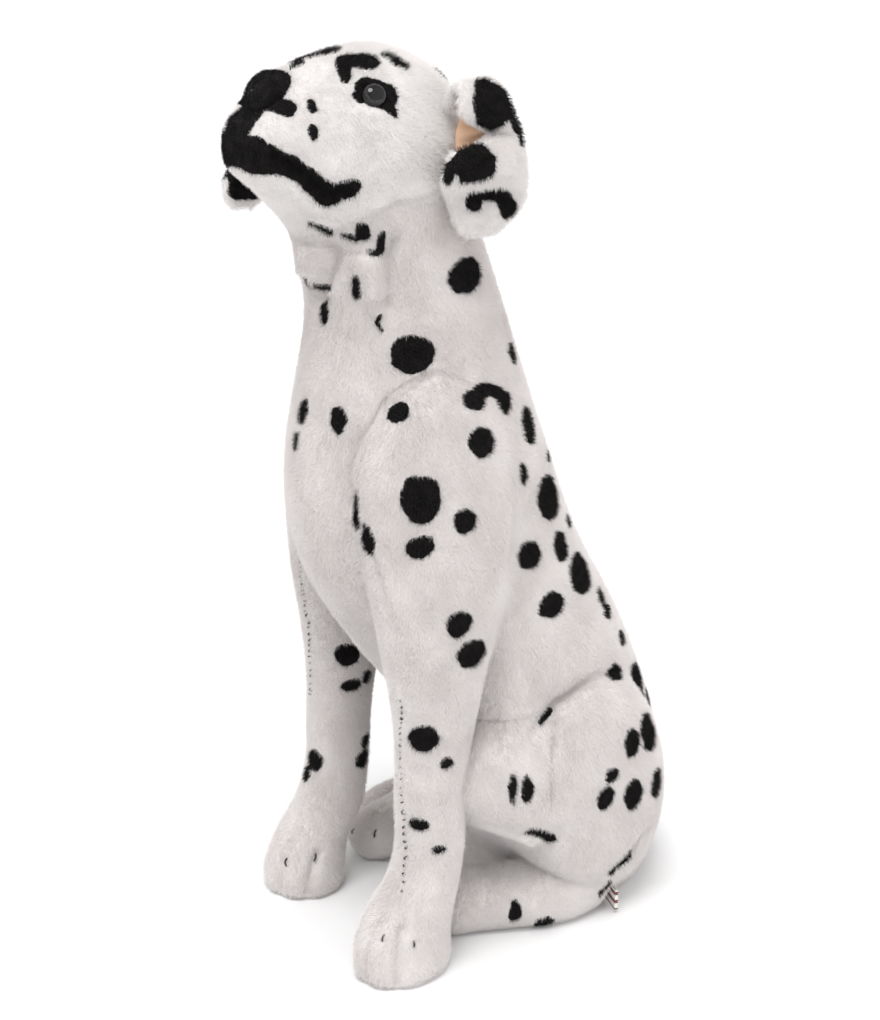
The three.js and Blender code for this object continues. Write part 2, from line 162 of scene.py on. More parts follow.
def smoothstep(x, low, high):
    s = np.clip((x - low) / (high - low), 0, 1)
    return s * s * (3 - 2 * s)


def torso(p):
    return stacked(p[2], p[0], p[1], [(z, 0, y, w, d) for y, z, d, w in TORSO])


def along_head(p):
    q = [p[i] - HEAD_AT[i] for i in range(3)]
    return q[0], q[1] * FORWARD[1] + q[2] * FORWARD[2], q[1] * UPWARD[1] + q[2] * UPWARD[2]


def head(p):
    x, f, u = along_head(p)
    return stacked(f, x, u, [(f0, 0, (t + b) / 2, w, (t - b) / 2) for f0, t, b, w in HEAD])


def nose(p):
    x, f, u = along_head(p)
    return stacked(f, x, u, [(f0, 0, u0, w, h) for f0, u0, h, w in NOSE])


def foreleg(p, side):
    if side > 0:
        return stacked(p[2], p[0], p[1], [(z, x, y, a, b) for x, y, z, a, b in FORELEG])
    # the right one stands a little further back, on a slimmer paw
    rows = [(z, x, y - 3 * (z < PAW_TOP), a, b * (0.85 if z < PAW_TOP else 1)) for x, y, z, a, b in FORELEG]
    return stacked(p[2], -p[0], p[1] - 10 * smoothstep(p[2], 0, 130), rows)


def foot(p, rows):
    return stacked(p[1], p[0], p[2], [(y, x, z, a, b) for x, y, z, a, b in rows])


def thigh(p, side):
    """A haunch: its outline from the side, rounded across."""
    y = p[1] if side > 0 else HAUNCH_BACK - (HAUNCH_BACK - p[1]) / RIGHT_LENGTH
    outline = np.array(THIGH, float) - (HAUNCH_Y, HAUNCH_Z)
    turn = np.arctan2(outline[:, 1], outline[:, 0])
    order = np.argsort(turn)
    turn, reach = turn[order], np.hypot(outline[:, 0], outline[:, 1])[order]
    turn = np.concatenate((turn[-2:] - 2 * np.pi, turn, turn[:2] + 2 * np.pi))
    reach = np.concatenate((reach[-2:], reach, reach[:2]))
    at, out = spline(np.stack((turn, reach), 1), 0.02)
    dy, dz = y - HAUNCH_Y, p[2] - HAUNCH_Z
    far = np.interp(np.arctan2(dz, dy), at, out[:, 0])
    rho = np.hypot(dy, dz) / far + 1e-6
    e = np.abs(side * p[0] - HAUNCH_X) / HAUNCH_HALF + 1e-6
    k = (rho**3 + e**3) ** (1 / 3)
    return (k - 1) / np.sqrt(((rho / k) ** 2 / far) ** 2 + ((e / k) ** 2 / HAUNCH_HALF) ** 2) - 1.5


def joined(a, b, r):
    """The union of two forms, filleted by about r."""
    h = np.maximum(r - np.abs(a - b), 0) / r
    return np.minimum(a, b) - h * h * r / 4


def haunch_fillet(p):
    """The flank runs softly into the knee, and folds sharply over the back of the haunch."""
    return 6 + 56 * (1 - smoothstep(p[1], 5, 50))


def shoulder_fillet(p):
    """The forelegs grow softly out of the chest, and stand clear of the knees."""
    return 7 + 13 * smoothstep(p[2], 200, 300)


# Each sewn part: its form, and how widely it is filleted into the ones before it
PARTS = {
    "torso": (torso, None),
    "head": (head, lambda p: 22),
    "thigh_left": (lambda p: thigh(p, 1), haunch_fillet),
    "thigh_right": (lambda p: thigh(p, -1), haunch_fillet),
    "foreleg_left": (lambda p: foreleg(p, 1), shoulder_fillet),
    "foreleg_right": (lambda p: foreleg(p, -1), shoulder_fillet),
    "hind_foot_left": (lambda p: foot(p, LEFT_FOOT), lambda p: 6),
    "hind_foot_right": (lambda p: foot(p, RIGHT_FOOT), lambda p: 6),
}


def sampled():
    """Every part's distance on the grid, and the distance to the whole form, resting on the floor."""
    axes = [np.arange(LOW[i], HIGH[i] + STEP / 2, STEP, dtype=np.float32) for i in range(3)]
    p = np.meshgrid(*axes, indexing="ij", sparse=True)
    p = [np.broadcast_to(q, tuple(len(a) for a in axes)) for q in p]
    each, whole = {}, None
    for name, (form, fillet) in PARTS.items():
        each[name] = form(p).astype(np.float32)
        whole = each[name] if whole is None else joined(whole, each[name], fillet(p)).astype(np.float32)
    return p, each, np.maximum(whole, -p[2])


# ---- meshes

FAR = 1e3  # further than any point of the dog


def surface(field, low, step=STEP):
    """Points and quads on the zero level of a sampled field, which is negative inside."""
    inside = field < 0
    n = np.array(field.shape) - 1
    corners = [(i, j, k) for i in (0, 1) for j in (0, 1) for k in (0, 1)]
    held = sum(inside[i : n[0] + i, j : n[1] + j, k : n[2] + k].astype(np.int8) for i, j, k in corners)
    active = (held > 0) & (held < 8)
    number = np.full(active.shape, -1)
    cells = np.argwhere(active)
    number[active] = np.arange(len(cells))
    total, hits = np.zeros((len(cells), 3)), np.zeros((len(cells), 1))
    for a in corners:
        for axis in range(3):
            if a[axis]:
                continue
            b = np.array(a)
            b[axis] = 1
            va, vb = field[tuple((cells + a).T)], field[tuple((cells + b).T)]
            crosses = (va < 0) != (vb < 0)
            t = np.where(crosses, va / np.where(crosses, va - vb, 1), 0)
            spot = np.tile(np.array(a, float), (len(cells), 1))
            spot[:, axis] = t
            total += spot * crosses[:, None]
            hits += crosses[:, None]
    points = low + (cells + total / hits) * step
    quads = []
    for axis in range(3):
        u, v = (axis + 1) % 3, (axis + 2) % 3
        a = np.take(inside, range(n[axis]), axis)
        b = np.take(inside, range(1, n[axis] + 1), axis)
        edges = np.argwhere(a != b)
        edges = edges[(edges[:, u] > 0) & (edges[:, v] > 0) & (edges[:, u] < n[u]) & (edges[:, v] < n[v])]
        around = []
        for du, dv in ((-1, -1), (0, -1), (0, 0), (-1, 0)):
            cell = edges.copy()
            cell[:, u] += du
            cell[:, v] += dv
            around.append(number[tuple(cell.T)])
        quad = np.stack(around, 1)
        low_inside = a[tuple(edges.T)]
        quads.append(np.where(low_inside[:, None], quad, quad[:, ::-1]))
    return points, np.concatenate(quads)


def neighbours(faces, count):
    edges = np.concatenate([faces[:, [i, (i + 1) % faces.shape[1]]] for i in range(faces.shape[1])])
    edges = np.unique(np.sort(edges, 1), axis=0)
    return edges, np.bincount(edges.ravel(), minlength=count)


def smoothed(points, faces, rounds, held=None):
    """The points, each moved again and again halfway to its neighbours' middle."""
    edges, degree = neighbours(faces, len(points))
    for _ in range(rounds):
        middle = np.empty_like(points)
        for i in range(3):
            middle[:, i] = np.bincount(edges[:, 0], points[edges[:, 1], i], len(points))
            middle[:, i] += np.bincount(edges[:, 1], points[edges[:, 0], i], len(points))
        step = 0.5 * (middle / degree[:, None] - points)
        points = points + (step if held is None else step * held[:, None])
    return points


def normals_of(points, faces):
    """Unit normals of the points of a mesh of quads."""
    a, b, c, d = (points[faces[:, i]] for i in range(4))
    face = np.cross(c - a, d - b)
    out = np.zeros_like(points)
    for i in range(4):
        for axis in range(3):
            out[:, axis] += np.bincount(faces[:, i], face[:, axis], len(points))
    return out / (np.linalg.norm(out, axis=1, keepdims=True) + 1e-9)


def read(field, points):
    """A field on the whole grid, read between its samples."""
    q = np.clip((points - LOW) / STEP, 0, np.array(field.shape) - 1.001)
    i = q.astype(int)
    w = q - i
    out = np.zeros(len(points))
    for corner in ((a, b, c) for a in (0, 1) for b in (0, 1) for c in (0, 1)):
        share = np.prod(np.where(corner, w, 1 - w), axis=1)
        out += share * field[tuple((i + corner).T)]
    return out


def outward(field, points, reach=3.0):
    """Unit directions away from the form that a field measures."""
    out = np.empty_like(points)
    for axis in range(3):
        step = np.zeros(3)
        step[axis] = reach
        out[:, axis] = read(field, points + step) - read(field, points - step)
    return out / (np.linalg.norm(out, axis=1, keepdims=True) + 1e-9)


def to_path(points, path):
    """Each point's distance to a path, and how far along it the nearest place is, from 0 to 1."""
    path = np.array(path, float)
    best, where = np.full(len(points), FAR), np.zeros(len(points))
    for i, (a, b) in enumerate(zip(path[:-1], path[1:])):
        run = b - a
        t = np.clip((points - a) @ run / max(run @ run, 1e-9), 0, 1)
        d = np.linalg.norm(points - a - t[:, None] * run, axis=1)
        closer = d < best
        best = np.where(closer, d, best)
        where = np.where(closer, (i + t) / (len(path) - 1), where)
    return best, where


def mesh_object(name, points, faces, ink=None):
    """A smooth-shaded object from points in millimetres in the tables' frame."""
    mesh = bpy.data.meshes.new(name)
    mesh.vertices.add(len(points))
    mesh.vertices.foreach_set("co", placed(points).astype(np.float32).ravel())
    mesh.loops.add(faces.size)
    mesh.loops.foreach_set("vertex_index", faces.astype(np.int32).ravel())
    mesh.polygons.add(len(faces))
    sides = faces.shape[1]
    mesh.polygons.foreach_set("loop_start", np.arange(len(faces), dtype=np.int32) * sides)
    mesh.polygons.foreach_set("use_smooth", np.ones(len(faces), bool))
    mesh.update(calc_edges=True)
    mesh.validate()
    if ink is not None:
        mesh.attributes.new("ink", "FLOAT", "POINT").data.foreach_set("value", ink.astype(np.float32))
    return linked(name, mesh)


# ---- relief and marks

# Raised (+) and sunk (-) strokes on the skin: how much, how wide, and the path. Those of the face are given
# across, forward and up from the head's centre, and are mirrored.
FACE_RELIEF = [
    (-4.0, 5.0, [(20, 101, -56), (32, 86, -56), (34, 69, -58), (40, 48, -64), (49, 37, -55)]),
    (3.0, 8.0, [(24, 98, -40), (38, 80, -40), (42, 62, -46), (46, 48, -48)]),
    (2.5, 7.0, [(14, 100, -74), (26, 84, -74), (34, 62, -76), (38, 44, -76)]),
    (2.2, 8.0, [(20, 66, 24), (28, 54, 28), (36, 40, 26)]),
    (-3.5, 9.5, [(45, 45, 8), (45, 46, 7)]),
    (1.8, 4.0, [(38, 59, 3), (37, 57, 13), (44, 46, 20), (50, 37, 13)]),
    (1.4, 4.0, [(43, 57, -4), (50, 47, -4), (54, 37, 1)]),
    (-2.5, 12.0, [(24, 76, 6), (34, 62, 2), (44, 52, -6)]),
    (2.0, 14.0, [(52, 34, -18), (54, 22, -30)]),
]
BODY_RELIEF = [
    # loose folds below the chin
    (10.0, 10.0, [(8, -112, 562), (6, -112, 548), (2, -110, 536)]),
    (-4.0, 4.0, [(-8, -106, 522), (4, -106, 520), (14, -105, 522)]),
    (9.0, 8.0, [(45, -88, 558), (47, -85, 540), (48, -82, 522)]),
    (-6.0, 5.0, [(25, -109, 562), (31, -103, 555), (27, -104, 544), (17, -105, 528), (14, -104, 512)]),
    (-5.0, 5.0, [(57, -70, 570), (54, -76, 554), (53, -76, 534), (52, -76, 512)]),
    # seams of the shoulders
    (-3.4, 3.4, [
        (72, -46, 474), (66, -78, 455), (50, -97, 425), (46, -106, 400), (50, -105, 376),
        (76, -102, 341), (88, -93, 290),
    ]),
    (-3.4, 3.4, [
        (-72, -40, 474), (-66, -70, 455), (-52, -92, 425), (-47, -102, 398), (-52, -100, 374),
        (-76, -96, 338), (-88, -86, 290),
    ]),
    # seams of the haunches, and the folds where they meet the flank
    (-4.5, 5.0, [(82, 112, 207), (90, 76, 208), (91, 51, 199), (92, 34, 187), (93, 12, 176)]),
    (3.0, 8.0, [(92, 80, 198), (98, 50, 186), (101, 30, 174)]),
    (-3.5, 3.5, [(95, 46, 192), (104, 38, 168), (109, 34, 146), (110, 33, 121)]),
    (-2.0, 5.0, [(100, -20, 168), (104, -15, 148), (102, -10, 126)]),
    (-4.5, 4.0, [(102, 138, 72), (105, 120, 57), (104, 98, 40)]),
    # toes
    (-4.0, 4.0, [(84, -103, 54), (83, -112, 44), (85, -119, 30), (86, -121, 12), (86, -120, 2)]),
    (-4.0, 4.0, [(98, -94, 54), (100, -100, 46), (103, -104, 28), (104, -104, 12), (104, -104, 2)]),
    (-3.5, 4.0, [(66, -108, 50), (65, -117, 30), (66, -119, 10), (66, -119, 2)]),
    (-4.0, 4.0, [(-67, -98, 52), (-66, -108, 40), (-64, -115, 24), (-65, -116, 2)]),
    (-4.0, 4.0, [(-51, -84, 46), (-49, -92, 36), (-48, -98, 20), (-49, -99, 2)]),
    (-3.5, 4.0, [(-86, -98, 50), (-88, -106, 30), (-88, -108, 4)]),
    (-3.5, 4.0, [(66, -44, 30), (67, -36, 14), (68, -33, 2)]),
    (-3.5, 4.0, [(50, -60, 34), (50, -60, 14), (50, -60, 2)]),
    (-3.5, 4.0, [(-70, -22, 38), (-69, -24, 24), (-70, -22, 6)]),
    (-3.5, 4.0, [(-86, -36, 38), (-86, -42, 22), (-86, -40, 6)]),
]
# Black spots: place, half width along the skin, half height
SPOTS = [
    # throat and chest
    (39, -93, 530, 4, 9), (11, -104, 508, 4, 9), (33, -106, 435, 7, 10), (-1, -116, 434, 6, 10),
    (-3, -120, 413, 4, 8), (54, -105, 372, 5, 15), (68, -105, 354, 9, 12),
    # left neck, shoulder and flank
    (57, -14, 534, 19, 13), (61, -61, 483, 16, 14), (82, -21, 449, 13, 8), (67, 13, 438, 11, 9),
    (94, -23, 421, 13, 11), (74, -81, 447, 8, 9), (96, -76, 388, 15, 18), (103, -44, 367, 10, 9),
    (99, -78, 353, 10, 9), (57, 41, 414, 11, 16), (72, 27, 383, 6, 8), (60, 60, 355, 20, 17),
    (80, 28, 321, 13, 11), (67, 67, 316, 12, 13), (63, 89, 289, 20, 17), (84, 47, 277, 14, 10),
    (42, 70, 382, 7, 4), (49, 94, 328, 8, 6), (57, 113, 261, 8, 9), (60, 118, 249, 9, 6),
    (58, 134, 222, 8, 6), (46, 33, 469, 8, 8), (109, -51, 292, 11, 10), (108, -40, 266, 15, 11),
    (64, 146, 183, 20, 14), (52, 166, 158, 12, 9),
    # left haunch and legs
    (84, 112, 207, 12, 5), (105, 110, 154, 9, 12), (98, 132, 156, 12, 16), (108, 89, 134, 7, 6),
    (108, 84, 116, 9, 10), (107, 112, 110, 10, 14), (100, 139, 110, 9, 13), (106, 10, 141, 5.5, 11.5),
    (105, -2, 146, 4, 14), (99, -76, 203, 11, 11), (104, -60, 181, 6, 5), (95, -79, 131, 8, 6),
    (103, -66, 110, 6, 3.4), (-55, -54, 209, 11, 10), (-56, -50, 181, 9, 6), (-57, -36, 185, 5, 6),
    (-62, -35, 125, 8, 7), (-60, -38, 110, 9, 8), (-76, -75, 111, 9, 9), (-83, -78, 97, 6, 7),
    (87, 16, 20, 5.5, 11), (89, 43, 7, 9, 8),
]
# Longer marks: two ends and the radius at each
MARKS = [
    ((22, -119, 576), (31, -109, 571), 2.8, 2.6), ((46, -92, 574), (46, -92, 570), 5, 5),
    ((37, -102, 569), (43, -95, 566), 1.8, 2.6), ((53, -80, 569), (51, -81, 558), 3, 3.2),
    # The marks from (-1, -109, 536) and from (7, -107, 528) are painted shade at the foot of the first fold
    # below the chin.
    ((46, -88, 558), (51, -82, 556), 1.4, 2), ((-1, -109, 536), (-5, -107, 525), 2, 3),
    ((7, -107, 528), (14, -106, 526), 2.8, 3.4), ((49, -80, 510), (47, -82, 506), 1.5, 1.7),
    ((47, -82, 506), (49, -79, 500), 1.7, 1.4), ((72, -6, 453), (78, -16, 452), 6, 7),
    # The three thin marks from (104, 134, 68) down to (105, 99, 41) are painted shade in the crease where the
    # haunch meets the rump.
    ((70, 0, 450), (67, 10, 444), 6, 7), ((104, 134, 68), (106, 116, 54), 1.6, 2.6),
    ((106, 116, 54), (105, 99, 41), 4, 4.2), ((105, 107, 44), (104, 118, 48), 2.4, 1.5),
    ((91, 34, 185), (91, 44, 193), 1.6, 2.4), ((104, 18, 101), (106, 36, 89), 4.5, 5),
    # right side, back and crown, which the photograph doesn't show
    ((-57, -20, 522), (-57, -10, 519), 11, 12), ((-62, -58, 476), (-64, -50, 470), 11, 12),
    ((-72, 8, 456), (-68, 16, 448), 8, 7), ((-92, -38, 424), (-92, -30, 421), 10, 9),
    ((-68, 36, 412), (-66, 42, 402), 7, 8), ((-94, -66, 388), (-97, -56, 380), 12, 12),
    ((-102, -36, 352), (-102, -32, 348), 8, 9), ((-76, 40, 372), (-74, 46, 364), 8, 8),
    ((-80, 34, 326), (-80, 40, 322), 9, 9), ((-62, 78, 342), (-64, 82, 328), 6, 8),
    ((-84, 58, 284), (-84, 66, 280), 9, 8), ((-62, 96, 272), (-60, 102, 262), 7, 7),
    ((-106, -52, 292), (-106, -46, 288), 9, 9), ((-68, 122, 232), (-66, 126, 222), 6, 8),
    ((-58, 150, 190), (-54, 156, 178), 6, 6), ((4, 70, 434), (-2, 73, 424), 8, 9),
    ((18, 84, 404), (20, 88, 394), 6, 6), ((-20, 98, 356), (-16, 104, 342), 9, 8),
    ((12, 126, 302), (10, 132, 290), 9, 8), ((-14, 140, 262), (-18, 146, 252), 7, 8),
    ((20, 158, 220), (24, 164, 208), 8, 9), ((-24, 172, 188), (-22, 178, 176), 6, 7),
    ((4, 190, 140), (0, 194, 128), 8, 7), ((36, 186, 96), (30, 190, 88), 7, 8),
    ((-34, 188, 84), (-38, 184, 72), 7, 7), ((10, 44, 512), (4, 46, 502), 8, 8),
    ((-22, 40, 482), (-26, 42, 472), 8, 7), ((-105, 98, 152), (-105, 106, 146), 7, 6),
    ((-100, 136, 122), (-99, 140, 112), 6, 7), ((-106, 112, 98), (-106, 118, 94), 6, 6),
    ((-105, 84, 118), (-105, 88, 112), 5, 6), ((-100, 140, 70), (-98, 144, 62), 5, 6),
    ((-92, 76, 178), (-88, 84, 182), 6, 6), ((-103, -62, 222), (-103, -56, 216), 8, 9),
    ((-103, -52, 162), (-103, -50, 154), 5, 6), ((-102, -56, 120), (-102, -54, 114), 5, 5),
    ((-112, 20, 30), (-112, 30, 24), 5, 6), ((-108, 66, 28), (-106, 76, 22), 5, 5),
    ((100, 92, 22), (100, 100, 28), 4, 4),
]
# The same for the head, given across, forward and up: first the ones that are mirrored, then the lone ones
FACE_MARKS = [
    ((42, 51, 10), (49, 39, 12), 9, 9.5), ((40, 56, 4), (43, 53, 4), 3, 5),
    ((51, 36, 7), (55, 30, 2), 5, 2.5), ((22, 63, 23), (29, 51, 29), 6.5, 8),
    ((25, 64, 18), (31, 63, 12), 5, 4), ((25, 36, 41), (30, 29, 38), 5.5, 6.5),
    ((36, 82, -14), (36, 80, -17), 3.5, 4), ((39, 75, -30), (39, 73, -33), 3.6, 3.6),
    ((20, 100, -25), (30, 93, -25), 7, 6), ((24, 96, -61), (33, 78, -58), 12, 8),
    ((33, 78, -58), (36, 62, -60), 8, 7), ((36, 62, -60), (41, 46, -65), 7, 9),
    ((47, 40, -58), (51, 36, -54), 6, 6.5), ((0, 108, -61), (22, 100, -61), 10, 13),
]
LONE_MARKS = [
    ((8, 107, -34), (6, 108, -52), 14, 16), ((-6, 84, 12), (2, 68, 27), 6, 8.5),
    ((3, 88, 7), (5, 85, 9), 3.5, 4), ((-26, 20, 42), (-20, 10, 46), 7, 8),
    ((12, -14, 46), (6, -20, 46), 7, 6), ((-26, -24, 38), (-22, -30, 34), 7, 7),
    ((30, -30, 30), (34, -34, 22), 6, 6), ((-40, 10, 30), (-44, 4, 26), 6, 6),
]


def mirrored(point):
    x, forward, up = point
    return -x, forward, up


def capsules(table):
    """A table's marks, with their ends as arrays."""
    return [(np.array(a, float), np.array(b, float), ra, rb) for a, b, ra, rb in table]


def marks():
    """Every black mark as two ends and two radii, in the tables' frame."""
    far_side = [(mirrored(a), mirrored(b), ra, rb) for a, b, ra, rb in FACE_MARKS]
    on_head = FACE_MARKS + LONE_MARKS + far_side
    return capsules(MARKS) + [(head_point(*a), head_point(*b), ra, rb) for a, b, ra, rb in on_head]


INK_REACH = 9.0


def ink_at(points, given, spots=()):
    """How far inside the nearest black mark each point is, in millimetres, no further out than INK_REACH."""
    best = np.full(len(points), -INK_REACH)
    for a, b, ra, rb in given:
        reach = max(ra, rb) + INK_REACH + np.linalg.norm(b - a)
        near = np.flatnonzero(np.abs(points - a).max(1) < reach)
        if len(near):
            d, t = to_path(points[near], [a, b])
            rough = edge_noise(points[near]) * min(1.0, max(ra, rb) / 7)
            best[near] = np.maximum(best[near], ra + (rb - ra) * t - d + rough)
    for x, y, z, wide, high in spots:
        q = points - (x, y, z)
        near = np.flatnonzero(np.abs(q).max(1) < max(wide, high) + INK_REACH)
        if len(near):
            q = q[near]
            away = np.sqrt((np.hypot(q[:, 0], q[:, 1]) / wide) ** 2 + (q[:, 2] / high) ** 2)
            rough = edge_noise(points[near]) * min(1.0, min(wide, high) / 7)
            best[near] = np.maximum(best[near], (1 - away) * min(wide, high) + rough)
    return best


def onto_skin(points):
    """The points, moved onto the whole form."""
    for _ in range(4):
        points = points - outward(whole, points) * read(whole, points)[:, None]
    return points


# Waves of the marks' edges: radians per millimetre along x, y and z, and height
EDGE_WAVES = [
    (0.21, 0.17, 0.13, 0.6), (0.33, -0.29, 0.39, 0.5), (-0.57, 0.49, 0.51, 0.35), (0.91, -0.83, 0.97, 0.3),
]


def edge_noise(points):
    """An uneven edge for the marks, in millimetres."""
    return sum(h * np.sin(points @ np.array((a, b, c)) + 7 * a) for a, b, c, h in EDGE_WAVES)


def relief(points, normals):
    """The skin's points, moved along their normals by every stroke."""
    lift = np.zeros(len(points))
    strokes = [(h, w, path) for h, w, path in BODY_RELIEF]
    for h, w, path in FACE_RELIEF:
        strokes.append((h, w, [head_point(*q) for q in path]))
        strokes.append((h, w, [head_point(*mirrored(q)) for q in path]))
    for h, w, path in strokes:
        path = np.array(path, float)
        box = (points > path.min(0) - 3 * w) & (points < path.max(0) + 3 * w)
        near = np.flatnonzero(box.all(1))
        if len(near):
            d, t = to_path(points[near], path)
            ends = smoothstep(np.minimum(t, 1 - t), 0, 0.12) * 0.7 + 0.3
            lift[near] += h * ends * np.exp(-((d / w) ** 2))
    # slow unevenness of the filling
    for height, run in ((0.5, (0.055, 0.04, 0.032)), (0.4, (-0.03, 0.07, 0.06))):
        lift += height * np.sin(points @ np.array(run))
    return points + normals * lift[:, None]


# ---- materials


def nodes_of(name):
    material = bpy.data.materials.new(name)
    material.use_nodes = True
    tree = material.node_tree
    return material, tree, tree.nodes["Principled BSDF"]


def add(tree, kind, inputs=(), **settings):
    """A node with its settings and inputs; an input is a constant or another node's output."""
    node = tree.nodes.new(kind)
    for key, value in settings.items():
        setattr(node, key, value)
    for key, value in dict(inputs).items():
        if isinstance(value, bpy.types.NodeSocket):
            tree.links.new(value, node.inputs[key])
        else:
            node.inputs[key].default_value = value
    return node


def mixed(tree, factor, a, b):
    """A colour between a and b."""
    node = tree.nodes.new("ShaderNodeMix")
    node.data_type = "RGBA"
    tree.links.new(factor, node.inputs["Factor"])
    for slot, value in (("A", a), ("B", b)):
        socket = [s for s in node.inputs if s.name == slot and s.type == "RGBA"][0]
        if isinstance(value, bpy.types.NodeSocket):
            tree.links.new(value, socket)
        else:
            socket.default_value = (*value, 1)
    return [s for s in node.outputs if s.type == "RGBA"][0]


def noise(tree, scale, detail=3.0, vector=None):
    inputs = {"Scale": scale, "Detail": detail}
    if vector is not None:
        inputs["Vector"] = vector
    return add(tree, "ShaderNodeTexNoise", inputs).outputs["Fac"]


def ranged(tree, value, low, high, to_low=0.0, to_high=1.0):
    inputs = {"Value": value, "From Min": low, "From Max": high, "To Min": to_low, "To Max": to_high}
    return add(tree, "ShaderNodeMapRange", inputs).outputs["Result"]


def bump(tree, shader, height, strength, distance):
    made = add(tree, "ShaderNodeBump", {"Height": height, "Strength": strength, "Distance": distance})
    tree.links.new(made.outputs["Normal"], shader.inputs["Normal"])


def coloured(tree, shader, colour):
    tree.links.new(colour, shader.inputs["Base Color"])


def finish(shader, roughness, **others):
    """Constants on the shader's own sockets; coat_weight is the socket Coat Weight."""
    shader.inputs["Roughness"].default_value = roughness
    for key, value in others.items():
        shader.inputs[key.replace("_", " ").title().replace("Ior", "IOR")].default_value = value


def plush(name, pale, shade, dark, hair):
    """Pile fabric, dyed black where the ink attribute is above nought; hair is for the strands themselves."""
    material, tree, shader = nodes_of(name)
    place = add(tree, "ShaderNodeTexCoord").outputs["Object"]
    ink = add(tree, "ShaderNodeAttribute", attribute_name="ink").outputs["Fac"]
    fuzz = ranged(tree, noise(tree, 420, 4, place), 0, 1, -1.6, 1.6)
    edge = add(tree, "ShaderNodeMath", {0: ink, 1: 0.0 if hair else fuzz}, operation="ADD").outputs[0]
    black = ranged(tree, edge, -0.35, 0.35)
    tone = ranged(tree, noise(tree, 28, 5, place), 0.3, 0.7)
    white = mixed(tree, tone, shade, pale)
    tips = ranged(tree, noise(tree, 150, 3, place), 0.35, 0.75)
    soot = mixed(tree, tips, dark, tuple(c * 2.4 for c in dark))
    coloured(tree, shader, mixed(tree, black, white, soot))
    finish(shader, 0.7 if hair else 0.92, specular_ior_level=0.08, sheen_weight=0.08, sheen_roughness=0.5)
    if not hair:
        combed = add(tree, "ShaderNodeMapping", {"Vector": place, "Scale": (1.0, 1.0, 0.3)}).outputs["Vector"]
        bump(tree, shader, noise(tree, 900, 5, combed), 0.7, 0.002)
    return material


def plain(name, colour, second, scale, roughness, height=0.3, metallic=0.0, sheen=0.0):
    """A finish of two near colours in a fine grain, with its bump."""
    material, tree, shader = nodes_of(name)
    place = add(tree, "ShaderNodeTexCoord").outputs["Object"]
    grain = noise(tree, scale, 4, place)
    coloured(tree, shader, mixed(tree, ranged(tree, grain, 0.35, 0.65), colour, second))
    finish(shader, roughness, metallic=metallic, sheen_weight=sheen)
    bump(tree, shader, grain, height, 0.0005)
    return material


PALE, SHADE, SOOT = (0.915, 0.885, 0.875), (0.83, 0.795, 0.785), (0.007, 0.006, 0.006)
PLUSH = plush("plush_pile", (0.86, 0.825, 0.815), (0.76, 0.72, 0.71), SOOT, False)
STRANDS = plush("plush_strands", PALE, SHADE, SOOT, True)
# painted light: the head's and ears' pile and strands are lighter copies of the body's, standing for the
# brighter light on the top of the dog
LIT_FACE_PLUSH = plush("face_plush_pile", (0.91, 0.89, 0.88), (0.83, 0.80, 0.79), SOOT, False)
LIT_FACE_STRANDS = plush("face_plush_strands_painted_light", (0.965, 0.945, 0.935), (0.89, 0.86, 0.85), SOOT, True)
FIBRE = plain("fibre_filling", (0.88, 0.86, 0.82), (0.72, 0.70, 0.66), 160, 1.0, 0.8, sheen=0.3)
STEEL = plain("frame_steel", (0.42, 0.42, 0.43), (0.30, 0.30, 0.31), 300, 0.38, 0.2, metallic=1.0)
WASHER = plain("washer_plastic", (0.80, 0.79, 0.76), (0.74, 0.73, 0.70), 220, 0.5, 0.1)
THREAD = plain("black_thread", (0.012, 0.012, 0.012), (0.04, 0.04, 0.04), 1800, 0.75, 0.8, sheen=0.3)


def satin_material():
    """Peach satin: a fine ribbed weave with a soft directional gloss, and darker patches laid by noise that
    are painted shade for its folds.
    """
    material, tree, shader = nodes_of("peach_satin")
    place = add(tree, "ShaderNodeTexCoord").outputs["Object"]
    ribs = {"Vector": place, "Scale": 500.0, "Distortion": 1.5}
    weave = add(tree, "ShaderNodeTexWave", ribs).outputs["Fac"]
    # painted shade: the noise lays darker peach patches that stand for the shade in the satin's wrinkles
    tone = ranged(tree, noise(tree, 45, 4, place), 0.3, 0.7)
    coloured(tree, shader, mixed(tree, tone, (0.50, 0.27, 0.14), (0.80, 0.52, 0.35)))
    finish(shader, 0.38, anisotropic=0.6, sheen_weight=0.1)
    bump(tree, shader, weave, 0.25, 0.0003)
    return material


SATIN_PAINTED_SHADE = satin_material()


def paint(obj, material):
    obj.data.materials.clear()
    obj.data.materials.append(material)


# ---- fur


STAND, THICK = 0.85, 0.12  # how upright a strand grows, and its radius at the root
CURL, STRAY = 0.4, 0.45  # how far strands turn together, and each on its own
BLEED = 0.25  # how unevenly the dye takes
SOLE = 1.2  # no strand roots below this height


